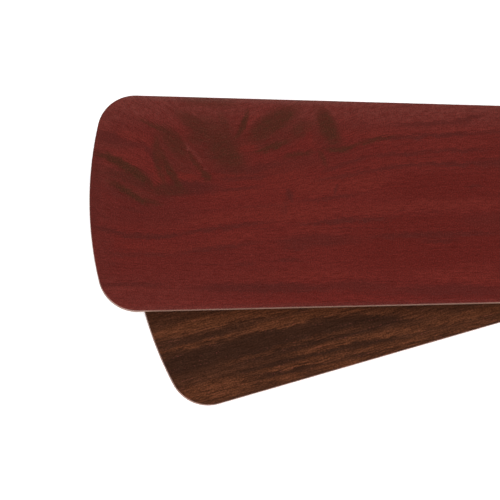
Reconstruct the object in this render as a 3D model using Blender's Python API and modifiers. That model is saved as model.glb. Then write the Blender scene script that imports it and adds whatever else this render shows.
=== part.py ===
"""Two reversible ceiling-fan blades, the upper one lying flat across the lower one.

Both blades are the same laminated board: a decorative rosewood veneer on one face, five birch
plies whose grain alternates, and a decorative walnut veneer on the other face.  Three rubber
bushes are snapped into stepped holes at the root, where a blade iron is screwed on.  The upper
blade shows its rosewood face.  The lower blade is turned over and shows its walnut face.

Frame: metres, +Z up.  +X runs along the upper blade from tip to root.  The origin is the centre
of the pair's footprint, on the surface that the lower blade lies on.
"""

import math

import bpy
from mathutils import Matrix, Vector

MM = 0.001
INCH = 25.4 * MM

# The blade in plan: its tip's crown is at x = 0, its root end at x = BLADE_LENGTH.
BLADE_LENGTH = 21 * INCH
TIP_WIDTH = 141.1 * MM  # between the straight sides, carried on to the crown
ROOT_WIDTH = 120.0 * MM
TIP_RADIUS = 228 * MM
TIP_CORNER_RADIUS = 25 * MM
ROOT_CORNER_RADIUS = 19 * MM

# The blade through its thickness: veneer, five plies, veneer, with a glue line between each.
BLADE_THICKNESS = INCH / 4
VENEER_THICKNESS = 0.6 * MM
GLUE_LINE = 0.05 * MM
PLIES = ("crossband_1", "long_ply_2", "centre_crossband_3", "long_ply_4", "crossband_5")
PLY_THICKNESS = (
    BLADE_THICKNESS - 2 * VENEER_THICKNESS - (len(PLIES) + 1) * GLUE_LINE
) / len(PLIES)

# The three screw holes at the root, and the rubber bush in each.
INNER_HOLES_FROM_END = 22 * MM
INNER_HOLES_APART = 60 * MM
OUTBOARD_HOLE_FROM_END = 68 * MM
BUSH_BORE_RADIUS = 3.2 * MM
BUSH_NECK_RADIUS = 5.5 * MM
BUSH_FLANGE_RADIUS = 7.0 * MM
BUSH_BELOW_FACE = 0.1 * MM
BUSH_CHAMFER = 0.3 * MM
FIT_GAP = 0.3 * MM

# How the pair lies: where the lower blade's tip is, seen from the upper blade's tip.
LOWER_TIP_ALONG = 34.3 * MM
LOWER_TIP_ACROSS = -67.8 * MM
LOWER_TURN = math.radians(14.35)

# Facets: how many segments each round stretch takes.
TIP_SEGMENTS = 8
TIP_CORNER_SEGMENTS = 8
ROOT_CORNER_SEGMENTS = 6
HOLE_SEGMENTS = 20

COLOURS = {
    "rosewood": ((0.120, 0.020, 0.016, 1.0), 0.35),
    "walnut": ((0.070, 0.025, 0.012, 1.0), 0.45),
    "birch_long": ((0.460, 0.290, 0.220, 1.0), 0.60),
    "birch_cross": ((0.360, 0.210, 0.155, 1.0), 0.65),
    "rubber": ((0.020, 0.018, 0.017, 1.0), 0.75),
}


def clear_scene():
    for old in list(bpy.data.objects):
        bpy.data.objects.remove(old)


def make_material(name):
    colour, roughness = COLOURS[name]
    material = bpy.data.materials.new(name)
    material.use_nodes = True
    shader = material.node_tree.nodes["Principled BSDF"]
    shader.inputs["Base Color"].default_value = colour
    shader.inputs["Roughness"].default_value = roughness
    shader.inputs["Metallic"].default_value = 0.0
    return material


def arc(centre, radius, start, end, segments):
    """Points along an arc, from angle start to angle end, both ends included."""
    angles = [start + (end - start) * i / segments for i in range(segments + 1)]
    return [
        (centre[0] + radius * math.cos(a), centre[1] + radius * math.sin(a)) for a in angles
    ]


def blade_outline():
    """The blade's closed outline, symmetric about its long axis."""
    half = TIP_WIDTH / 2
    taper = (TIP_WIDTH - ROOT_WIDTH) / 2 / BLADE_LENGTH
    slant = math.hypot(1, taper)
    side_normal = math.atan2(1, taper)

    # The tip corner touches the side and, from inside, the tip's own arc.
    reach = half - TIP_CORNER_RADIUS * slant
    a = slant**2
    b = -2 * (TIP_RADIUS + taper * reach)
    c = TIP_RADIUS**2 + reach**2 - (TIP_RADIUS - TIP_CORNER_RADIUS) ** 2
    corner_x = (-b - math.sqrt(b * b - 4 * a * c)) / (2 * a)
    corner = (corner_x, reach - taper * corner_x)
    join = math.atan2(corner[1], corner[0] - TIP_RADIUS)

    root_x = BLADE_LENGTH - ROOT_CORNER_RADIUS
    root = (root_x, half - taper * root_x - ROOT_CORNER_RADIUS * slant)

    side = arc((TIP_RADIUS, 0), TIP_RADIUS, math.pi, join, TIP_SEGMENTS)
    side += arc(corner, TIP_CORNER_RADIUS, join, side_normal, TIP_CORNER_SEGMENTS)[1:]
    side += arc(root, ROOT_CORNER_RADIUS, side_normal, 0, ROOT_CORNER_SEGMENTS)
    other_side = [(x, -y) for x, y in reversed(side[1:])]
    return side + other_side


def hole_centres():
    """Name and place of each screw hole, in plan."""
    inner_x = BLADE_LENGTH - INNER_HOLES_FROM_END
    return {
        "inner_left": (inner_x, INNER_HOLES_APART / 2),
        "inner_right": (inner_x, -INNER_HOLES_APART / 2),
        "outboard": (BLADE_LENGTH - OUTBOARD_HOLE_FROM_END, 0.0),
    }


def add_spline(curve, points):
    spline = curve.splines.new("POLY")
    spline.points.add(len(points) - 1)
    for point, (x, y) in zip(spline.points, points):
        point.co = (x, y, 0, 1)
    spline.use_cyclic_u = True


def make_layer(name, hole_radius, low, high, material, parent, collection):
    """One veneer or ply: the blade's outline with three round holes, from low to high."""
    curve = bpy.data.curves.new(name, "CURVE")
    curve.dimensions = "2D"
    curve.fill_mode = "BOTH"
    curve.extrude = (high - low) / 2
    add_spline(curve, blade_outline())
    for centre in hole_centres().values():
        turn = 2 * math.pi * (HOLE_SEGMENTS - 1) / HOLE_SEGMENTS
        add_spline(curve, arc(centre, hole_radius, 0, turn, HOLE_SEGMENTS - 1))
    curve.materials.append(material)
    layer = bpy.data.objects.new(name, curve)
    layer.location.z = (high + low) / 2
    layer.parent = parent
    collection.objects.link(layer)
    return layer


def bush_profile():
    """Half the bush's section as a closed loop that runs down its outer side."""
    top = BLADE_THICKNESS / 2 - BUSH_BELOW_FACE
    shoulder = BLADE_THICKNESS / 2 - VENEER_THICKNESS - PLY_THICKNESS - 2 * GLUE_LINE + FIT_GAP
    upper_outside = [
        (BUSH_BORE_RADIUS + BUSH_CHAMFER, top),
        (BUSH_FLANGE_RADIUS - BUSH_CHAMFER, top),
        (BUSH_FLANGE_RADIUS, top - BUSH_CHAMFER),
        (BUSH_FLANGE_RADIUS, shoulder),
        (BUSH_NECK_RADIUS, shoulder),
    ]
    lower_outside = [(r, -z) for r, z in reversed(upper_outside)]
    bore = [
        (BUSH_BORE_RADIUS, -top + BUSH_CHAMFER),
        (BUSH_BORE_RADIUS, top - BUSH_CHAMFER),
    ]
    return upper_outside + lower_outside + bore


def make_bush(name, centre, material, parent, collection):
    """A rubber bush turned about its own axis, with a flange at each face of the blade."""
    points = bush_profile()
    mesh = bpy.data.meshes.new(name)
    edges = [(i, (i + 1) % len(points)) for i in range(len(points))]
    mesh.from_pydata([(r, 0, z) for r, z in points], edges, [])
    mesh.materials.append(material)
    bush = bpy.data.objects.new(name, mesh)
    bush.location = (*centre, 0)
    bush.parent = parent
    collection.objects.link(bush)
    turn = bush.modifiers.new("Turn", "SCREW")
    turn.steps = HOLE_SEGMENTS
    turn.render_steps = HOLE_SEGMENTS
    turn.use_merge_vertices = True
    turn.merge_threshold = 0.00001
    turn.use_smooth_shade = True
    return bush


def make_blade(name, placing, materials, collection):
    """A whole blade under one empty.  Its own z = 0 is mid-thickness, rosewood on its +Z side."""
    blade = bpy.data.objects.new(name, None)
    blade.matrix_world = placing
    collection.objects.link(blade)

    counterbore = BUSH_FLANGE_RADIUS + FIT_GAP
    neck_hole = BUSH_NECK_RADIUS + FIT_GAP
    layers = [("rosewood_veneer", VENEER_THICKNESS, "rosewood", counterbore)]
    for number, ply in enumerate(PLIES):
        outermost = number in (0, len(PLIES) - 1)
        grain = "birch_cross" if "crossband" in ply else "birch_long"
        layers.append((ply, PLY_THICKNESS, grain, counterbore if outermost else neck_hole))
    layers.append(("walnut_veneer", VENEER_THICKNESS, "walnut", counterbore))

    high = BLADE_THICKNESS / 2
    for layer, thickness, finish, hole_radius in layers:
        low = high - thickness
        make_layer(f"{name}_{layer}", hole_radius, low, high, materials[finish], blade, collection)
        high = low - GLUE_LINE

    for hole, centre in hole_centres().items():
        make_bush(f"{name}_bush_{hole}", centre, materials["rubber"], blade, collection)


def placings():
    """Where each blade lies, as matrices from the blade's own frame to the pair's."""
    lower = (
        Matrix.Translation((LOWER_TIP_ALONG, LOWER_TIP_ACROSS, BLADE_THICKNESS / 2))
        @ Matrix.Rotation(LOWER_TURN, 4, "Z")
        @ Matrix.Rotation(math.pi, 4, "X")
    )
    upper = Matrix.Translation((0, 0, BLADE_THICKNESS * 1.5 + FIT_GAP))
    footprint = [m @ Vector((x, y, 0)) for m in (lower, upper) for x, y in blade_outline()]
    xs = [p.x for p in footprint]
    ys = [p.y for p in footprint]
    centring = Matrix.Translation((-(min(xs) + max(xs)) / 2, -(min(ys) + max(ys)) / 2, 0))
    return {"lower_blade": centring @ lower, "upper_blade": centring @ upper}


def main():
    clear_scene()
    collection = bpy.data.collections.new("fan_blade_pair")
    bpy.context.scene.collection.children.link(collection)
    materials = {name: make_material(name) for name in COLOURS}
    for name, placing in placings().items():
        make_blade(name, placing, materials, collection)


main()
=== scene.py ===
import math

import bmesh
import bpy
from mathutils import Matrix, Vector


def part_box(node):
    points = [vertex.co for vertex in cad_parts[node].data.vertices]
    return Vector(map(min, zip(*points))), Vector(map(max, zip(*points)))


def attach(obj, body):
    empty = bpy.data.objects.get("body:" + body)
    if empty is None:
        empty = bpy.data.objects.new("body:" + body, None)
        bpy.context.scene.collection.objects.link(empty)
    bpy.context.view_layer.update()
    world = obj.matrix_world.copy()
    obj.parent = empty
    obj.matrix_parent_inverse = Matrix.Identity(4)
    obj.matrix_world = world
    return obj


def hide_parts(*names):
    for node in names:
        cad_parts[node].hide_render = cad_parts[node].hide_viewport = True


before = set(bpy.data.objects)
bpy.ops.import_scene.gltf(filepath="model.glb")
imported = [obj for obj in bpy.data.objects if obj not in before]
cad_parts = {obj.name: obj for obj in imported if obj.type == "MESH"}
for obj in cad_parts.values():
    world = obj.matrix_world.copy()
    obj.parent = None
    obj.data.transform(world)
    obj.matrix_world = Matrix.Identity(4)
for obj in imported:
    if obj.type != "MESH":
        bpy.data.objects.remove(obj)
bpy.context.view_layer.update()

MM = 0.001
INCH = 25.4 * MM

# ---------------------------------------------------------------- the blade, as the CAD has it
# The blade in plan: its tip's crown is at x = 0, its root end at x = BLADE_LENGTH.
BLADE_LENGTH = 21 * INCH
TIP_WIDTH = 141.1 * MM
ROOT_WIDTH = 120.0 * MM
TIP_RADIUS = 228 * MM
TIP_CORNER_RADIUS = 25 * MM
ROOT_CORNER_RADIUS = 19 * MM
TAPER = (TIP_WIDTH - ROOT_WIDTH) / 2 / BLADE_LENGTH

BUSH_BORE_RADIUS = 3.2 * MM
BUSH_NECK_RADIUS = 5.5 * MM
BUSH_FLANGE_RADIUS = 7.0 * MM
COUNTERBORE_RADIUS = 7.3 * MM
NECK_HOLE_RADIUS = 5.8 * MM
BUSH_GAP = NECK_HOLE_RADIUS - BUSH_NECK_RADIUS
OUTBOARD_HOLE_FROM_END = 68 * MM
HOLES = ("inner_left", "inner_right", "outboard")

# What the finer surface adds: rounded arrises and smoother arcs. The arcs would bulge a hair past
# the CAD's flat facets, so the outline is drawn in by that much.
OUTLINE_TRIM = 0.075 * MM
VENEER_EASE = 0.3 * MM
HOLE_EASE = 0.12 * MM
PLY_EASE = 0.04 * MM
BUSH_LIP_EASE = 0.45 * MM
BUSH_SHOULDER_EASE = BUSH_LIP_EASE / 3
EASE_STEPS = 5
TIP_STEPS = 40
CORNER_STEPS = 24
HOLE_STEPS = 48
FLAT_NORMAL_Z = 0.9999  # a face whose normal is this upright is a flat cap

# Each layer from the rosewood face to the walnut face: its material and its holes' radius.
LAYERS = {
    "rosewood_veneer": ("rosewood", COUNTERBORE_RADIUS),
    "crossband_1": ("birch_cross", COUNTERBORE_RADIUS),
    "long_ply_2": ("birch_long", NECK_HOLE_RADIUS),
    "centre_crossband_3": ("birch_cross", NECK_HOLE_RADIUS),
    "long_ply_4": ("birch_long", NECK_HOLE_RADIUS),
    "crossband_5": ("birch_cross", COUNTERBORE_RADIUS),
    "walnut_veneer": ("walnut", COUNTERBORE_RADIUS),
}

# ---------------------------------------------------------------- the wood's figure
# The figure fans out by one part in FIGURE_FAN for each millimetre along, and lies a little low.
FIGURE_FAN = 10000.0
FIGURE_RISE = 0.27
# The rosewood's kinds of figure are laid on in order, the painted sheen (a pale reflection of the
# lights, painted into the colour) just before this one.
PAINTED_SHEEN_LIES_UNDER = "dark"

# Strokes of figure on a face, in millimetres from the tip's crown, seen with the tip on the left:
# (along, up, turn in degrees, half length, half width, bow, strength). A stroke fades to nothing
# at its half length and half width. A positive bow turns its ends up, and a negative one down. A
# strength above 1 keeps a stroke full over more of its width.
ROSEWOOD_FIGURE = {
    "deep": [
        (225, -28, 2, 90, 24, 0, 0.9),
        (232, 11, 2, 62, 14, 0, 0.9),
        (216, -12, 3, 64, 8, 0, 0.8),
        (262, 2, 88, 70, 30, 0, 0.55),
    ],
    "wash": [
        (22, 12, -25, 34, 13, 0, 0.55),
        (55, 32, -62, 30, 15, 0, 0.55),
        (82, 40, -45, 36, 24, 0, 0.7),
        (122, 48, 30, 34, 17, 0, 0.6),
        (152, 48, -60, 24, 14, 0, 0.5),
        (118, 23, 8, 50, 8, 0, 0.25),
        (12, 41, -18, 20, 8, 0, 0.45),
        (76, 62, -4, 34, 10, 0, 0.5),
    ],
    "light": [
        (160, 12, 5, 44, 9, 0, 1.0),
        (128, 13, 8, 22, 4, 0, 0.6),
        (48, -14.5, 1, 34, 4, 0, 0.5),
        (82, -10.5, 8, 32, 5, 0, 0.9),
        (130, -6, 2, 48, 9, 0, 1.0),
        (182, -4, 4, 38, 5, 0, 0.95),
        (232, -1, 1, 52, 5, 0, 1.0),
        (50, -29.5, 0, 42, 3, 1, 0.8),
        (86, -23.5, 14, 24, 4.5, 0, 0.85),
        (143, -17, 1, 20, 3, 0, 0.6),
        (126, -46.6, 1, 66, 5, 0, 0.9),
        (240, -47, -2, 44, 6.5, 0, 0.95),
        (248, -40, 0, 24, 2.4, 0, 0.6),
        (28, -56, 0, 30, 3.2, 0, 0.8),
        (58, -62, -10, 22, 4, 0, 0.4),
        (27, 29, -25, 18, 5.5, 0, 0.5),
        (28, 43.4, -15, 17, 4.5, 0, 0.85),
        (62, 16, -4, 11, 4.5, 0, 1.0),
        (42, 18, -50, 10, 4, 0, 0.6),
        (101, 35, 5, 10, 3.6, 0, 0.7),
        (106, 56, 42, 11, 4, 0, 0.8),
        (142, 44, -80, 15, 2.4, 0, 0.6),
        (92, 18.2, 0, 13, 1.8, 0, 0.7),
        (94, 5.9, 8, 27, 2.6, -0.3, 0.8),
        (120, 16.5, 11, 29, 2.8, 0, 0.85),
        (182, 45, -6, 26, 6, 0, 0.7),
        (250, 56, 14, 24, 3.6, 0, 0.6),
        (244, 48, 2, 32, 2.8, 0, 0.6),
        (248, 39, 2, 28, 3.6, 0, 0.6),
        (205, 27, 4, 40, 2.4, 0, 0.5),
    ],
    "dark": [
        (247, 55.4, 13, 17, 1.9, 0, 0.8),
        (3, 8, 88, 50, 7, 0, 0.6),
        (9, -36, 88, 32, 9, 0, 0.35),
        (62, -44, 2, 92, 26, 0, 0.2),
        (61, 9, 3, 31, 7, 0, 0.95),
        (26, 15.8, -19, 26, 5.8, -0.6, 0.75),
        (19, 5.5, -16, 19, 5.5, 0, 0.5),
        (48, 3, -12, 11, 4, 0, 0.5),
        (13, 42.5, -14, 15, 5.4, 0, 0.65),
        (27, 38.4, -15, 18, 2.6, 0, 0.6),
        (39.4, 31.6, -54, 15, 3.0, -1, 0.8),
        (103, 21.8, 7, 34, 3.8, 1.2, 0.6),
        (100, 16.2, 4, 26, 1.8, 0.6, 0.6),
        (95, 9.2, 5, 22, 1.8, 0, 0.65),
        (222, 51.5, 3, 40, 2.2, 0, 0.7),
        (220, 43.6, 3.4, 62, 2.4, 0, 0.85),
        (166, 26, 18, 24, 2.2, -0.6, 0.65),
        (200, 31.5, 3, 30, 2.0, 0, 0.7),
        (234, 34.2, 2, 38, 1.8, 0, 0.7),
        (166, 18, 10, 30, 2.2, 0, 0.6),
        (200, 23.5, 6, 30, 2.0, 0, 0.75),
        (238, 25.6, 0, 38, 2.4, 0, 0.8),
        (110, -2.4, 3, 28, 1.6, 0, 0.35),
        (155, 3.2, 7, 30, 1.8, 0, 0.6),
        (8, -8.5, -20, 11, 2.6, 0, 0.6),
        (12, -18, -12, 19, 2.4, 0, 0.95),
        (38, -21.6, 0, 32, 2.6, 0.6, 0.95),
        (82, -17, 8, 44, 2.4, 0, 0.75),
        (165, -11.5, 4, 44, 2.4, 0, 0.8),
        (30, -33.6, -1, 42, 2.4, 0.6, 0.6),
        (80, -29.5, 8, 38, 2.4, 0, 0.7),
        (12, -39.5, -6, 14, 2.4, 0, 0.5),
        (25, -52.6, 0, 38, 2.4, 0, 0.75),
        (110, -54.5, 0, 70, 4.6, 0, 0.9),
        (170, -53.2, 1, 34, 5, 0, 0.6),
        (232, -56, 0, 64, 6, 0, 0.65),
        (98, -59.5, 0, 60, 3.0, 0, 0.25),
        (145, -24.5, 2, 38, 6, 0, 0.6),
        (132, -28.5, 0, 16, 2.4, 0, 0.6),
        (222, -20.5, 2, 66, 3.0, 0, 0.65),
        (226, -24.5, 0, 18, 1.8, 0, 0.6),
        (127, -37, 0, 13, 1.8, 0, 0.6),
        (99, -40, 0, 11, 1.6, 0, 0.6),
        (128, 5, -70, 6, 3.0, 0, 0.8),
        (125, -2, 75, 9, 3, 0, 0.35),
        (158, 8.5, 70, 5.5, 1.6, 0, 0.6),
        (249, 11, 0, 8, 1.8, 0, 0.6),
        (27, -5, -15, 15, 2.6, 0, 0.7),
        (32, -6, -4, 52, 15, 0, 0.42),
        (34, 19, -32, 13, 4, 0, 0.5),
        (150, 31, 8, 44, 10, 0, 0.24),
        (264, 26, 0, 22, 5, 0, 0.6),
        (260, -11, 0, 30, 8, 0, 0.35),
        (172, 50, 0, 16, 6, 0, 0.35),
        (24, 52, -15, 36, 9, 0, 0.2),
        (165, -66.5, 1, 100, 4, 0, 0.35),
    ],
    "olive": [
        (23.5, 23.6, -31, 30, 4.4, -1.25, 1.15),
        (26, 15.5, -19, 25, 4.6, -0.6, 0.35),
        (25, 6.4, -31, 20, 3.0, -0.3, 0.95),
        (36, 1, -12, 14, 2.6, 0.5, 0.6),
        (50, 8, -5, 18, 5.5, 0, 0.5),
        (43.8, 27, -80, 24, 4.4, 1.0, 0.6),
        (51.4, 19.5, -61, 24, 3.8, 1.0, 0.8),
        (44, 49, -27, 20, 2.2, -0.4, 0.75),
        (54.5, 39, -53, 16, 8, 0, 0.6),
        (68.5, 25.5, -54, 18, 2.6, 0, 0.6),
        (74.5, 17.5, -45, 6, 4, 0, 0.75),
        (68, 51, -38, 21, 6.5, -0.3, 0.6),
        (71, 42.5, 10, 12, 5.5, 0, 0.45),
        (86.5, 50, -76, 14, 4.4, 0, 0.4),
        (87, 34, -52, 22, 12, 0, 0.6),
        (78, 47, -35, 22, 10, 0, 0.35),
        (90, 31.5, -26, 13, 2.8, 0.5, 0.75),
        (77, 66, -4, 26, 5, 0, 0.4),
        (99, 51, 66, 15, 2.8, 0.5, 0.85),
        (118, 51.8, 32, 27, 10, 0, 0.75),
        (124.5, 52.5, 42, 17, 3.4, 0, 0.85),
        (117.5, 36.2, 21, 17, 3.0, 0.6, 0.85),
        (134, 31.4, 9, 14, 2.6, 0, 0.65),
        (137, 48, 30, 12, 6.5, 0, 0.5),
        (154, 50.5, -66, 17, 8.5, 0, 0.85),
        (163, 35.5, 8, 17, 2.6, 0.8, 0.75),
        (184, 40.5, 12, 20, 2.2, 0, 0.6),
        (150, 29, -60, 9, 2.4, 0, 0.5),
    ],
    "pale": [
        (67, 32.4, -53, 15, 1.5, 0, 0.5),
        (63.1, 35.5, 0, 2.0, 2.0, 0, 1.0),
        (74.4, 22.4, 30, 2.0, 1.0, 0, 0.7),
    ],
}
WALNUT_FIGURE = {
    "base": [
        (20, -10, -8, 50, 11, 0, 1.0),
        (24, -15, -8, 40, 3, 0, 1.0),
        (24, -25, 0, 44, 5, 0, 0.7),
        (84, -26, -2, 62, 9, 0, 1.0),
        (196, -52, -9, 56, 10, 0, 1.0),
    ],
    "dark": [
        (16, -9, -12, 36, 6, 0, 0.1),
        (34, -13, -12, 22, 3, 0, 0.25),
        (28, -26, 0, 42, 3.4, 0, 0.6),
        (10, -24.5, -6, 18, 2.6, 0, 0.45),
        (50, -25.6, 2, 30, 2.4, 0, 0.35),
        (22, -39, 2, 38, 11, 0, 1.0),
        (62, -39, -1, 62, 11, 0, 1.0),
        (100, -41, 0, 60, 8, 0, 0.95),
        (140, -43.5, -6, 32, 6.5, 0, 0.85),
        (168, -47, -12, 22, 2.4, 0, 0.4),
        (30, -46.5, 0, 42, 3, 0, 0.5),
        (80, -48, 2, 62, 3.4, 0, 0.55),
        (122, -47.5, -2, 42, 3, 0, 0.25),
        (52, -54.4, 0, 24, 2.6, 0, 0.75),
        (92, -54.4, 0, 62, 3.0, 0, 1.0),
        (140, -57.6, -7, 36, 3, 0, 0.9),
        (88, -61.5, -3, 26, 2.6, 0, 0.75),
        (131, -63, -9, 18, 2, 0, 0.75),
        (30, -54, -1, 36, 2.6, 0, 0.85),
        (58, -60.5, 0, 20, 2.4, 0, 0.6),
    ],
    "light": [
        (34, -18, 0, 66, 5.8, 0, 1.1),
        (62, -18.6, -3, 36, 5.5, 0, 1.3),
        (30, -29.3, 0, 42, 2.4, 0, 0.7),
        (92, -30, -1, 46, 4.4, 0, 1.3),
        (122, -32.6, -6, 28, 4, 0, 1.0),
        (152, -40.5, -13, 26, 3, 0, 0.6),
        (78, -22.5, -4, 30, 3.6, 0, 0.7),
        (178, -49.5, -12, 28, 4, 0, 0.6),
        (196, -62, -3, 40, 4, 0, 0.6),
        (160, -65.6, -1, 46, 3, 0, 0.5),
        (10, -58, -4, 20, 4, 0, 1.2),
        (108, -51.4, 0, 36, 3.4, 0, 0.75),
        (150, -54, -5, 40, 3.4, 0, 0.9),
        (202, -55.4, -3, 48, 4.6, 0, 1.0),
        (88, -57.8, -2, 52, 3.0, 0, 0.78),
        (148, -61, -4, 42, 3.4, 0, 0.75),
        (112, -64.4, -4, 26, 2.8, 0, 0.8),
        (72, -64, -2, 22, 3.2, 0, 0.7),
        (30, -60, -2, 40, 9.5, 0, 0.88),
        (28, -57, -2, 38, 3, 0, 0.8),
        (70, -45.5, 2, 52, 1.6, 0, 0.4),
        (104, -45.2, 0, 44, 1.4, 0, 0.35),
    ],
}

# Colours in linear light.
ROSEWOOD = {
    "base": (0.121, 0.0150, 0.0117),
    "light": (0.134, 0.0172, 0.0127),
    "dark": (0.077, 0.0140, 0.0112),
    "deep": (0.105, 0.0117, 0.0089),
    "wash": (0.078, 0.0175, 0.0122),
    "olive": (0.054, 0.0168, 0.0087),
    # pale is also the colour of the painted sheen, a reflection of the lights painted into the
    # rosewood
    "pale": (0.142, 0.0310, 0.0245),
    "pore": (0.060, 0.0120, 0.0090),
    # the rim's colour: dust, and a painted highlight of the arris catching the light
    "dusty_highlit_rim": (0.300, 0.2000, 0.1700),
}
WALNUT = {
    "base": (0.065, 0.0225, 0.0108),
    "dark": (0.034, 0.0130, 0.0070),
    "light": (0.100, 0.0318, 0.0135),
    "pore": (0.024, 0.0095, 0.0055),
    "pink": (0.150, 0.0380, 0.0330),
}
# A ply's pale and brown fibres, for each way that its grain runs.
BIRCH = {
    "birch_long": ((0.38, 0.23, 0.18), (0.28, 0.155, 0.115)),
    "birch_cross": ((0.32, 0.185, 0.14), (0.22, 0.115, 0.085)),
}
RUBBER = {
    "clean": (0.012, 0.011, 0.011),
    "dusty": (0.045, 0.041, 0.038),
}


# ---------------------------------------------------------------- shapes
def arc(centre, radius, start, end, steps):
    """Points along an arc, from angle start to angle end, both ends included."""
    angles = [start + (end - start) * i / steps for i in range(steps + 1)]
    return [
        (centre[0] + radius * math.cos(a), centre[1] + radius * math.sin(a)) for a in angles
    ]


def blade_outline(inset=0.0):
    """The blade's closed outline, or the line that runs parallel to it, inset inside it."""
    slant = math.hypot(1, TAPER)
    side_normal = math.atan2(1, TAPER)
    half = TIP_WIDTH / 2
    inset += OUTLINE_TRIM

    reach = half - TIP_CORNER_RADIUS * slant
    a = slant**2
    b = -2 * (TIP_RADIUS + TAPER * reach)
    c = TIP_RADIUS**2 + reach**2 - (TIP_RADIUS - TIP_CORNER_RADIUS) ** 2
    corner_x = (-b - math.sqrt(b * b - 4 * a * c)) / (2 * a)
    corner = (corner_x, reach - TAPER * corner_x)
    join = math.atan2(corner[1], corner[0] - TIP_RADIUS)

    root_x = BLADE_LENGTH - ROOT_CORNER_RADIUS
    root = (root_x, half - TAPER * root_x - ROOT_CORNER_RADIUS * slant)

    side = arc((TIP_RADIUS, 0), TIP_RADIUS - inset, math.pi, join, TIP_STEPS)
    side += arc(corner, TIP_CORNER_RADIUS - inset, join, side_normal, CORNER_STEPS)[1:]
    side += arc(root, ROOT_CORNER_RADIUS - inset, side_normal, 0, CORNER_STEPS)
    other_side = [(x, -y) for x, y in reversed(side[1:])]
    return side + other_side


def circle(centre, radius):
    turn = 2 * math.pi * (HOLE_STEPS - 1) / HOLE_STEPS
    return arc(centre, radius, 0, turn, HOLE_STEPS - 1)


def eased_section(low, high, ease_low, ease_high):
    """(inset, height) along an edge's section, from its lower arris up to its upper one."""
    quarter = [i * math.pi / 2 / EASE_STEPS for i in range(EASE_STEPS + 1)]
    lower = [(ease_low * (1 - math.sin(t)), low + ease_low * (1 - math.cos(t))) for t in quarter]
    upper = [(ease_high * (1 - math.cos(t)), high - ease_high * (1 - math.sin(t))) for t in quarter]
    return lower + upper


def add_wall(bm, rings):
    """Quads between each ring of points and the next. Returns the first and last rings' edges."""
    rows = [[bm.verts.new(point) for point in ring] for ring in rings]
    for below, above in zip(rows, rows[1:]):
        for i in range(len(below)):
            j = (i + 1) % len(below)
            bm.faces.new((below[i], below[j], above[j], above[i]))
    ends = []
    for row in (rows[0], rows[-1]):
        ends.append([bm.edges.get((row[i], row[(i + 1) % len(row)])) for i in range(len(row))])
    return ends


def finish_mesh(bm, name):
    """Closes a bmesh into an object: faces out, flat caps flat, and the rounded edges smooth."""
    bmesh.ops.recalc_face_normals(bm, faces=bm.faces)
    for face in bm.faces:
        face.smooth = abs(face.normal.z) < FLAT_NORMAL_Z
    mesh = bpy.data.meshes.new(name)
    bm.to_mesh(mesh)
    bm.free()
    piece = bpy.data.objects.new(name, mesh)
    bpy.context.scene.collection.objects.link(piece)
    return piece


def make_plate(name, low, high, ease_low, ease_high, holes, hole_radius):
    """A layer of the board between two heights, with its three holes and eased arrises."""
    bm = bmesh.new()
    section = eased_section(low, high, ease_low, ease_high)
    rings = [[(x, y, z) for x, y in blade_outline(inset)] for inset, z in section]
    ends = [add_wall(bm, rings)]
    hole_section = eased_section(low, high, min(ease_low, HOLE_EASE), min(ease_high, HOLE_EASE))
    for centre in holes:
        rings = [
            [(x, y, z) for x, y in circle(centre, hole_radius + out)] for out, z in hole_section
        ]
        ends.append(add_wall(bm, rings))
    for cap in (0, 1):
        edges = [edge for end in ends for edge in end[cap]]
        bmesh.ops.triangle_fill(bm, use_beauty=True, use_dissolve=False, edges=edges)
    return finish_mesh(bm, name)


def rounded_corner(corner, before, after, radius):
    """A section's corner, rounded: points from one tangent point to the other."""
    corner, before, after = Vector(corner), Vector(before), Vector(after)
    start = corner + (before - corner).normalized() * radius
    end = corner + (after - corner).normalized() * radius
    ts = [i / EASE_STEPS for i in range(EASE_STEPS + 1)]
    return [(1 - t) ** 2 * start + 2 * t * (1 - t) * corner + t**2 * end for t in ts]


def bush_section(top, shoulder):
    """The bush's section (radius, height) as a closed loop, its lips and shoulders rounded."""
    corners = [
        (BUSH_BORE_RADIUS, top, BUSH_LIP_EASE),
        (BUSH_FLANGE_RADIUS, top, BUSH_LIP_EASE),
        (BUSH_FLANGE_RADIUS, shoulder, BUSH_SHOULDER_EASE),
        (BUSH_NECK_RADIUS, shoulder, BUSH_SHOULDER_EASE),
    ]
    corners += [(r, -z, ease) for r, z, ease in reversed(corners)]
    section = []
    for i, (r, z, ease) in enumerate(corners):
        before = corners[i - 1][:2]
        after = corners[(i + 1) % len(corners)][:2]
        section += rounded_corner((r, z), before, after, ease)
    return section


def make_bush(name, centre, top, shoulder):
    """A rubber bush: its rounded section turned about its own axis."""
    bm = bmesh.new()
    section = bush_section(top, shoulder)
    rings = []
    for r, z in section:
        rings.append([bm.verts.new((x, y, z)) for x, y in circle(centre, r)])
    for near, far in zip(rings, rings[1:] + rings[:1]):
        for i in range(HOLE_STEPS):
            j = (i + 1) % HOLE_STEPS
            bm.faces.new((near[i], near[j], far[j], far[i]))
    return finish_mesh(bm, name)


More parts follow.
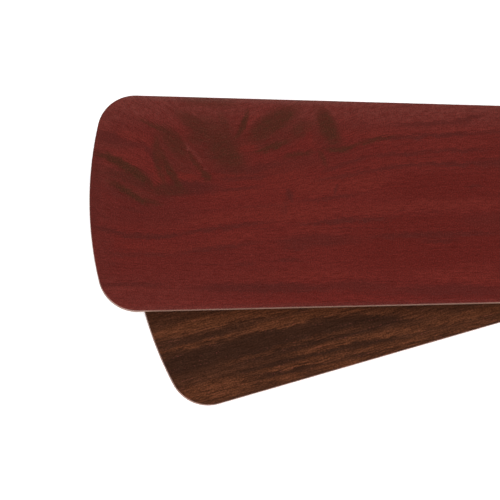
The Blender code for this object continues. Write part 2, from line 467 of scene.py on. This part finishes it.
# ---------------------------------------------------------------- materials
class Surface:
    """A material's node tree, with a short method for each kind of node it uses."""

    def __init__(self, name, placing):
        self.material = bpy.data.materials.new(name)
        self.material.use_nodes = True
        self.tree = self.material.node_tree
        self.shader = self.tree.nodes["Principled BSDF"]
        self.point = self.blade_point(placing)

    def add(self, kind, **settings):
        node = self.tree.nodes.new(kind)
        for key, value in settings.items():
            setattr(node, key, value)
        return node

    def put(self, socket, value):
        """Links a value into a socket, or sets it there when it is a constant."""
        if isinstance(value, bpy.types.NodeSocket):
            self.tree.links.new(value, socket)
        else:
            socket.default_value = value

    def blade_point(self, placing):
        """The shaded point in its blade's own frame, in millimetres."""
        node = self.add("ShaderNodeMapping", vector_type="TEXTURE")
        self.put(node.inputs["Vector"], self.add("ShaderNodeTexCoord").outputs["Object"])
        self.put(node.inputs["Location"], placing.translation)
        self.put(node.inputs["Rotation"], placing.to_euler())
        self.put(node.inputs["Scale"], (MM, MM, MM))
        return node.outputs[0]

    def math(self, operation, *values, clamp=False):
        node = self.add("ShaderNodeMath", operation=operation, use_clamp=clamp)
        for socket, value in zip(node.inputs, values):
            self.put(socket, value)
        return node.outputs[0]

    def add_up(self, *values):
        total = values[0]
        for value in values[1:]:
            total = self.math("ADD", total, value)
        return total

    def times(self, first, second):
        return self.math("MULTIPLY", first, second)

    def smooth(self, value, low, high, start=0.0, end=1.0):
        """A smooth step from start to end as value goes from low to high."""
        node = self.add("ShaderNodeMapRange", interpolation_type="SMOOTHSTEP")
        if low > high:
            low, high, start, end = high, low, end, start
        self.put(node.inputs["Value"], value)
        self.put(node.inputs["From Min"], low)
        self.put(node.inputs["From Max"], high)
        self.put(node.inputs["To Min"], start)
        self.put(node.inputs["To Max"], end)
        return node.outputs[0]

    def combine(self, x, y, z=0.0):
        node = self.add("ShaderNodeCombineXYZ")
        for socket, value in zip(node.inputs, (x, y, z)):
            self.put(socket, value)
        return node.outputs[0]

    def separate(self, vector):
        node = self.add("ShaderNodeSeparateXYZ")
        self.put(node.inputs[0], vector)
        return node.outputs

    def noise(self, vector, scale=1.0, detail=2.0, roughness=0.5):
        node = self.add("ShaderNodeTexNoise")
        self.put(node.inputs["Vector"], vector)
        self.put(node.inputs["Scale"], scale)
        self.put(node.inputs["Detail"], detail)
        self.put(node.inputs["Roughness"], roughness)
        return node.outputs["Fac"]

    def mix(self, factor, first, second):
        """A colour between two others."""
        node = self.add("ShaderNodeMix", data_type="RGBA")
        self.put(node.inputs[0], factor)
        for socket, colour in ((node.inputs[6], first), (node.inputs[7], second)):
            self.put(socket, (*colour, 1.0) if isinstance(colour, tuple) else colour)
        return node.outputs[2]

    def shade(self, colour, factor):
        """A colour made darker or lighter by a factor."""
        node = self.add("ShaderNodeVectorMath", operation="SCALE")
        self.put(node.inputs[0], colour)
        self.put(node.inputs["Scale"], factor)
        return node.outputs[0]

    def stroke(self, point, along, up, turn, half_length, half_width, bow, strength):
        """How strongly a stroke of figure shows at a point: most on its line, nothing past it."""
        placed = self.add("ShaderNodeMapping", vector_type="TEXTURE")
        self.put(placed.inputs["Vector"], point)
        self.put(placed.inputs["Location"], (along, up, 0))
        self.put(placed.inputs["Rotation"], (0, 0, math.radians(turn)))
        self.put(placed.inputs["Scale"], (half_length, half_width, 1))
        place = placed.outputs[0]
        if bow:
            x, y, _ = self.separate(place)
            y = self.math("MULTIPLY_ADD", self.times(x, x), -bow, y)
            place = self.combine(x, y)
        fade = self.add("ShaderNodeTexGradient", gradient_type="SPHERICAL")
        self.put(fade.inputs[0], place)
        return self.smooth(fade.outputs["Fac"], 0.0, 0.65, 0.0, strength)

    def strokes(self, point, figure):
        """The strongest of a list of strokes at a point."""
        total = 0.0
        for each in figure:
            total = self.math("MAXIMUM", total, self.stroke(point, *each))
        return total

    def bump(self, height, strength, distance):
        node = self.add("ShaderNodeBump")
        self.put(node.inputs["Strength"], strength)
        self.put(node.inputs["Distance"], distance)
        self.put(node.inputs["Height"], height)
        self.put(self.shader.inputs["Normal"], node.outputs[0])

    def wander(self, x, y, reach, size):
        """Moves a point by soft noise, up to about reach, over lumps of about size."""
        node = self.add("ShaderNodeTexNoise")
        self.put(node.inputs["Vector"], self.combine(x, y))
        self.put(node.inputs["Scale"], 1 / size)
        self.put(node.inputs["Detail"], 3.0)
        dx, dy, _ = self.separate(node.outputs["Color"])
        x = self.math("MULTIPLY_ADD", self.math("SUBTRACT", dx, 0.5), 4 * reach, x)
        y = self.math("MULTIPLY_ADD", self.math("SUBTRACT", dy, 0.5), 4 * reach, y)
        return x, y

    def grain(self, x, flow, along, across, detail=4.0, roughness=0.6):
        """Noise drawn out along the grain: lumps of about along by across, in millimetres."""
        stretched = self.combine(self.times(x, 1 / along), self.times(flow, 1 / across))
        return self.noise(stretched, 1.0, detail, roughness)

    def finish(self, colour, roughness, height, strength, depth):
        """Joins the colour, the roughness and the relief to the shader. The gloss is soft."""
        self.put(self.shader.inputs["Base Color"], colour)
        self.put(self.shader.inputs["Roughness"], roughness)
        self.put(self.shader.inputs["Specular IOR Level"], 0.15)
        self.bump(height, strength, depth)
        return self.material


def rosewood_flow(wood, x, y):
    """Which grain line passes through a point: the lines dip under the cluster of figure."""
    middle = wood.smooth(y, -25, 25, 30, 82)
    away = wood.math("SUBTRACT", x, middle)
    towards_root = wood.times(wood.math("MAXIMUM", away, 0.0), 1 / 78)
    towards_tip = wood.times(wood.math("MINIMUM", away, 0.0), 1 / 50)
    off = wood.add_up(towards_root, towards_tip)
    dip = wood.math("EXPONENT", wood.times(wood.times(off, off), -1.0))
    return wood.math("MULTIPLY_ADD", dip, wood.smooth(y, -44, 40, 0, 46), y)


def rosewood_painted_sheen(wood, x, y, patch):
    """Where a pale sheen is painted into the colour, standing in for the lacquer's reflection of the
    lights: along the left side (the top as seen with the tip on the left), at the tip's end and
    corner, and a little among the swirls."""
    top = wood.smooth(y, 42, 65, 0.0, 0.75)
    tip = wood.smooth(x, 24, 2, 0.0, 0.3)
    corner = wood.times(wood.smooth(y, -38, -64, 0.0, 0.45), wood.smooth(x, 150, 10))
    root = wood.times(wood.smooth(y, 30, 60, 0.0, 0.15), wood.smooth(x, 150, 190))
    swirl = wood.times(wood.smooth(y, 0, 40, 0.0, 0.22), wood.smooth(x, 80, 5))
    total = wood.add_up(top, tip, corner, root, swirl)
    return wood.math("MULTIPLY", total, wood.smooth(patch, 0.3, 0.7, 0.45, 1.25), clamp=True)


def rosewood_dusty_highlit_rim(wood, x, y, dust):
    """How worn and dusty the face is along its straight sides, with a painted highlight where the
    arris catches the light: most at the left, near the tip.
    """
    edge = wood.math("MULTIPLY_ADD", x, -TAPER, TIP_WIDTH / 2 / MM)
    strongest = wood.smooth(x, 140, 200, 0.1, 0.025)
    left = wood.smooth(wood.math("SUBTRACT", edge, y), 4.5, 0.3, 0.0, strongest)
    right = wood.smooth(wood.math("ADD", edge, y), 4.0, 0.3, 0.0, 0.03)
    return wood.times(wood.add_up(left, right), wood.smooth(dust, 0.35, 0.65, 0.3, 1.7))


def shades(wood, *patterns):
    """How much patterns of noise darken or lighten a colour: each is (pattern, reach)."""
    total = 1.0
    for pattern, reach in patterns:
        total = wood.times(total, wood.smooth(pattern, 0.34, 0.66, 1 - reach, 1 + reach))
    return total


def figure_point(wood, x, y, fine, fray):
    """Where a point is in the figure. It fans out towards the root, wanders a little, and its
    edges fray into the fine grain by up to about fray."""
    fan = wood.math("MULTIPLY_ADD", x, 1 / FIGURE_FAN, 1.0)
    y = wood.math("DIVIDE", wood.math("ADD", y, FIGURE_RISE), fan)
    x, y = wood.wander(x, y, 0.9, 14.0)
    x, y = wood.wander(x, y, 0.6, 2.4)
    y = wood.math("MULTIPLY_ADD", wood.math("SUBTRACT", fine, 0.5), 6 * fray, y)
    return wood.combine(x, y)


def rosewood_bands(wood, colour, x, bands):
    """Darkens and lightens the colour in bands of grain, on the half of the blade by the root."""
    rootward = wood.smooth(x, 240, 300)
    for band in bands:
        dark = wood.times(rootward, wood.smooth(band, 0.47, 0.34, 0.0, 0.75))
        colour = wood.mix(dark, colour, ROSEWOOD["dark"])
        light = wood.times(rootward, wood.smooth(band, 0.54, 0.68, 0.0, 0.8))
        colour = wood.mix(light, colour, ROSEWOOD["light"])
    return colour


def rosewood_specks(wood, colour, x, y, speck):
    """Breaks the figure up with flecks of the plain wood, pale dust and a worn, dusty rim that also
    carries a painted highlight.
    """
    flecks = wood.smooth(speck, 0.58, 0.7, 0.0, 0.45)
    colour = wood.mix(flecks, colour, ROSEWOOD["base"])
    dust = wood.noise(wood.combine(x, y), 1 / 0.7, 1.0)
    colour = wood.mix(wood.smooth(dust, 0.5, 0.68, 0.0, 0.42), colour, ROSEWOOD["pale"])
    # a worn, dusty rim along the straight sides, with a painted highlight of the arris
    return wood.mix(rosewood_dusty_highlit_rim(wood, x, y, dust), colour, ROSEWOOD["dusty_highlit_rim"])


def rosewood_material(name, placing):
    """Red rosewood: fine straight grain that dips under a cluster of swirled figure."""
    wood = Surface(name, placing)
    x, y, _ = wood.separate(wood.point)
    wavy_x, flow = wood.wander(x, rosewood_flow(wood, x, y), 1.2, 34.0)
    streak = wood.grain(wavy_x, flow, 48.0, 1.7)
    fine = wood.grain(wavy_x, flow, 7.0, 0.9)
    speck = wood.noise(wood.combine(x, y), 1 / 0.8, 1.0)
    patch = wood.noise(wood.combine(x, y), 1 / 3.0, 4.0, 0.7)

    streaked = wood.smooth(streak, 0.42, 0.3, 0.0, 0.5)
    colour = wood.mix(streaked, ROSEWOOD["base"], ROSEWOOD["dark"])
    broad = wood.grain(wavy_x, flow, 170.0, 8.0, 2.0)
    narrow = wood.grain(wavy_x, y, 90.0, 2.2, 2.0)
    colour = rosewood_bands(wood, colour, x, (broad, narrow))

    point = figure_point(wood, x, y, fine, 1.4)
    texture = wood.add_up(wood.times(fine, 0.5), wood.times(patch, 0.3), wood.times(speck, 0.2))
    broken = wood.smooth(texture, 0.4, 0.6, 0.62, 1.35)
    # painted sheen: a pale reflection of the lights, painted into the colour along the edges and the
    # tip
    painted_sheen = rosewood_painted_sheen(wood, x, y, patch)
    for kind, figure in ROSEWOOD_FIGURE.items():
        if kind == PAINTED_SHEEN_LIES_UNDER:
            colour = wood.mix(painted_sheen, colour, ROSEWOOD["pale"])
        amount = wood.math("MULTIPLY", wood.strokes(point, figure), broken, clamp=True)
        colour = wood.mix(amount, colour, ROSEWOOD[kind])

    colour = rosewood_specks(wood, colour, x, y, speck)
    factor = shades(wood, (streak, 0.05), (fine, 0.12), (patch, 0.05), (speck, 0.2))
    colour = wood.shade(colour, factor)
    pores = wood.smooth(wood.grain(wavy_x, flow, 3.5, 0.35, 2.0), 0.64, 0.76, 0.0, 0.4)
    colour = wood.mix(pores, colour, ROSEWOOD["pore"])

    roughness = wood.smooth(fine, 0.3, 0.7, 0.27, 0.36)
    relief = wood.math("SUBTRACT", fine, pores)
    return wood.finish(colour, roughness, relief, 0.25, 0.03 * MM)


def walnut_material(name, placing):
    """Dark walnut: long brown bands along the blade, lighter where the early wood shows."""
    wood = Surface(name, placing)
    x, down, _ = wood.separate(wood.point)
    y = wood.times(down, -1.0)
    wavy_x, wavy_y = wood.wander(x, y, 1.2, 40.0)
    band = wood.grain(wavy_x, wavy_y, 130.0, 5.0, 3.0)
    streak = wood.grain(wavy_x, wavy_y, 22.0, 1.3)
    fine = wood.grain(wavy_x, wavy_y, 9.0, 0.85)
    speck = wood.grain(wavy_x, wavy_y, 1.3, 0.75, 1.0)

    point = figure_point(wood, x, y, fine, 1.2)
    texture = wood.add_up(wood.times(streak, 0.45), wood.times(fine, 0.35), wood.times(speck, 0.2))
    broken = wood.smooth(texture, 0.4, 0.6, 0.55, 1.35)

    colour = wood.mix(wood.smooth(band, 0.3, 0.55), WALNUT["dark"], WALNUT["base"])
    for kind, figure in WALNUT_FIGURE.items():
        amount = wood.math("MULTIPLY", wood.strokes(point, figure), broken, clamp=True)
        colour = wood.mix(amount, colour, WALNUT[kind])

    factor = shades(wood, (streak, 0.16), (fine, 0.27), (speck, 0.3))
    colour = wood.shade(colour, factor)
    pores = wood.smooth(wood.grain(wavy_x, wavy_y, 4.0, 0.35, 2.0), 0.62, 0.72, 0.0, 0.6)
    colour = wood.mix(pores, colour, WALNUT["pore"])
    pink = wood.times(wood.smooth(speck, 0.56, 0.68, 0.0, 0.8), wood.smooth(streak, 0.54, 0.66))
    colour = wood.mix(pink, colour, WALNUT["pink"])

    roughness = wood.smooth(fine, 0.3, 0.7, 0.3, 0.4)
    relief = wood.math("SUBTRACT", fine, pores)
    return wood.finish(colour, roughness, relief, 0.3, 0.04 * MM)


def birch_material(name, placing, layer):
    """A ply: its fibres run along the blade or across it, and show their ends at an edge."""
    pale, brown = BIRCH[layer]
    wood = Surface(name, placing)
    x, y, z = wood.separate(wood.point)
    along, across = (x, y) if layer == "birch_long" else (y, x)
    fibre = wood.combine(
        wood.times(along, 1 / 30), wood.times(across, 1 / 0.22), wood.times(z, 1 / 0.22)
    )
    streak = wood.noise(fibre, 1.0, 4.0, 0.65)
    cloud = wood.noise(wood.point, 1 / 9, 3.0, 0.5)
    colour = wood.mix(wood.smooth(streak, 0.35, 0.65), brown, pale)
    colour = wood.mix(wood.smooth(cloud, 0.4, 0.7, 0.0, 0.4), colour, brown)
    roughness = wood.smooth(streak, 0.3, 0.7, 0.55, 0.75)
    return wood.finish(colour, roughness, streak, 0.5, 0.05 * MM)


def rubber_material(name, placing):
    """Matt black rubber with a fine moulded skin and a little dust."""
    rubber = Surface(name, placing)
    skin = rubber.noise(rubber.point, 1 / 0.35, 3.0, 0.6)
    dust = rubber.noise(rubber.point, 1 / 4, 4.0, 0.6)
    colour = rubber.mix(rubber.smooth(dust, 0.4, 0.75), RUBBER["clean"], RUBBER["dusty"])
    roughness = rubber.smooth(dust, 0.3, 0.7, 0.62, 0.85)
    return rubber.finish(colour, roughness, skin, 0.4, 0.04 * MM)


def blade_materials(blade, placing):
    """A blade's five materials, their figure placed in its own frame."""
    return {
        "rosewood": rosewood_material(f"{blade}.rosewood", placing),
        "walnut": walnut_material(f"{blade}.walnut", placing),
        "birch_long": birch_material(f"{blade}.birch_long", placing, "birch_long"),
        "birch_cross": birch_material(f"{blade}.birch_cross", placing, "birch_cross"),
        "rubber": rubber_material(f"{blade}.rubber", placing),
    }


# ---------------------------------------------------------------- the two blades
def box_centre(node):
    low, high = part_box(node)
    return (low + high) / 2


def blade_placing(blade):
    """The matrix from a blade's own frame to the pair's, read from where its bushes lie."""
    left, right, outboard = (box_centre(f"{blade}_bush_{hole}") for hole in HOLES)
    along = ((left + right) / 2 - outboard).normalized()
    across = (left - right).normalized()
    tip = outboard - along * (BLADE_LENGTH - OUTBOARD_HOLE_FROM_END)
    placing = Matrix((along, across, along.cross(across))).transposed().to_4x4()
    placing.translation = tip
    return placing


def own_heights(node, placing):
    """A node's lowest and highest point in its blade's own frame."""
    heights = [(placing.inverted() @ corner).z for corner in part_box(node)]
    return min(heights), max(heights)


def add_piece(piece, blade, node, placing, slot, materials):
    """Puts a piece, made in its blade's frame, where it belongs, in place of its CAD node."""
    piece.data.transform(placing)
    piece.data.materials.append(materials[slot])
    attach(piece, blade)
    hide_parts(node)


def make_blade(blade):
    placing = blade_placing(blade)
    inverse = placing.inverted()
    materials = blade_materials(blade, placing)
    holes = [(inverse @ box_centre(f"{blade}_bush_{hole}")).xy for hole in HOLES]

    for layer, (slot, hole_radius) in LAYERS.items():
        node = f"{blade}_{layer}"
        low, high = own_heights(node, placing)
        ease_low = VENEER_EASE if layer == "walnut_veneer" else PLY_EASE
        ease_high = VENEER_EASE if layer == "rosewood_veneer" else PLY_EASE
        plate = make_plate(node + ".fine", low, high, ease_low, ease_high, holes, hole_radius)
        add_piece(plate, blade, node, placing, slot, materials)

    shoulder = own_heights(f"{blade}_crossband_1", placing)[0] + BUSH_GAP
    for hole, centre in zip(HOLES, holes):
        node = f"{blade}_bush_{hole}"
        top = own_heights(node, placing)[1]
        bush = make_bush(node + ".fine", centre, top, shoulder)
        add_piece(bush, blade, node, placing, "rubber", materials)


for blade_name in ("lower_blade", "upper_blade"):
    make_blade(blade_name)


# ---------------------------------------------------------------- floor, light and camera
# The floor lies a hair under the lower blade.
FLOOR_HALF_SIZE = 6.0
FLOOR_GAP = 0.3 * MM


def make_floor():
    """A plain white surface, bright enough to read as white paper lit from all round."""
    turns = ((-1, -1), (1, -1), (1, 1), (-1, 1))
    corners = [(x * FLOOR_HALF_SIZE, y * FLOOR_HALF_SIZE, -FLOOR_GAP) for x, y in turns]
    mesh = bpy.data.meshes.new("floor")
    mesh.from_pydata(corners, [], [(0, 1, 2, 3)])
    floor = bpy.data.objects.new("floor", mesh)
    bpy.context.scene.collection.objects.link(floor)
    material = bpy.data.materials.new("floor")
    material.use_nodes = True
    shader = material.node_tree.nodes["Principled BSDF"]
    shader.inputs["Base Color"].default_value = (0.9, 0.9, 0.9, 1.0)
    shader.inputs["Roughness"].default_value = 0.9
    shader.inputs["Specular IOR Level"].default_value = 0.1
    shader.inputs["Emission Color"].default_value = (1.0, 1.0, 1.0, 1.0)
    shader.inputs["Emission Strength"].default_value = 0.55
    floor.data.materials.append(material)


def make_world():
    """A studio that is bright towards the horizon and dark overhead, where the camera looks from."""
    world = bpy.data.worlds.new("studio")
    bpy.context.scene.world = world
    world.use_nodes = True
    nodes, links = world.node_tree.nodes, world.node_tree.links
    direction = nodes.new("ShaderNodeTexCoord")
    split = nodes.new("ShaderNodeSeparateXYZ")
    links.new(direction.outputs["Generated"], split.inputs[0])
    height = nodes.new("ShaderNodeMapRange")
    height.interpolation_type = "SMOOTHSTEP"
    links.new(split.outputs["Z"], height.inputs["Value"])
    for name, number in (("From Min", 0.15), ("From Max", 0.75), ("To Min", 0.9), ("To Max", 0.0)):
        height.inputs[name].default_value = number
    background = nodes["Background"]
    background.inputs["Color"].default_value = (1.0, 1.0, 1.0, 1.0)
    links.new(height.outputs[0], background.inputs["Strength"])


def add_softbox(name, azimuth, elevation, distance, size, power):
    """A large soft light, aimed at the middle from a compass direction and a height in degrees."""
    turn, lift = math.radians(azimuth), math.radians(elevation)
    level = distance * math.cos(lift)
    place = Vector((level * math.sin(turn), level * math.cos(turn), distance * math.sin(lift)))
    light = bpy.data.lights.new(name, "AREA")
    light.shape = "RECTANGLE"
    light.size, light.size_y = size
    light.energy = power
    lamp = bpy.data.objects.new(name, light)
    lamp.location = place
    lamp.rotation_euler = place.to_track_quat("Z", "Y").to_euler()
    bpy.context.scene.collection.objects.link(lamp)


def make_lights():
    add_softbox("front_softbox", 180, 32, 2.5, (2.4, 0.8), 42.0)
    add_softbox("left_softbox", -80, 34, 2.5, (1.8, 0.8), 22.0)
    add_softbox("right_softbox", 80, 34, 2.5, (1.8, 0.8), 22.0)
    add_softbox("back_softbox", 0, 34, 2.5, (2.4, 0.8), 22.0)


# The camera looks down on the tips, from a little beyond them and to the front. The point that it
# looks at is on the upper face.
VIEW_FROM_TIP = Vector((101.7 * MM, -31.15 * MM, 0))
VIEW_DISTANCE = 1.194
VIEW_TILT = math.radians(10.5)
VIEW_YAW = math.radians(-6.5)
VIEW_ROLL = math.radians(-1.23)
VIEW_LENS = 135.0


def make_camera():
    camera_data = bpy.data.cameras.new("camera")
    camera_data.lens = VIEW_LENS
    camera_data.sensor_width = 36.0
    camera_data.clip_end = 100.0
    camera = bpy.data.objects.new("camera", camera_data)
    low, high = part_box("upper_blade_rosewood_veneer")
    tip = Vector((low.x, (low.y + high.y) / 2, high.z))
    turn = Matrix.Rotation(VIEW_ROLL, 4, "Z") @ Matrix.Rotation(VIEW_YAW, 4, "Y")
    turn = turn @ Matrix.Rotation(VIEW_TILT, 4, "X")
    back = Matrix.Translation((0, 0, VIEW_DISTANCE))
    camera.matrix_world = Matrix.Translation(tip + VIEW_FROM_TIP) @ turn @ back
    bpy.context.scene.collection.objects.link(camera)
    bpy.context.scene.camera = camera


make_floor()
make_world()
make_lights()
make_camera()
bpy.context.scene.view_settings.view_transform = "Standard"
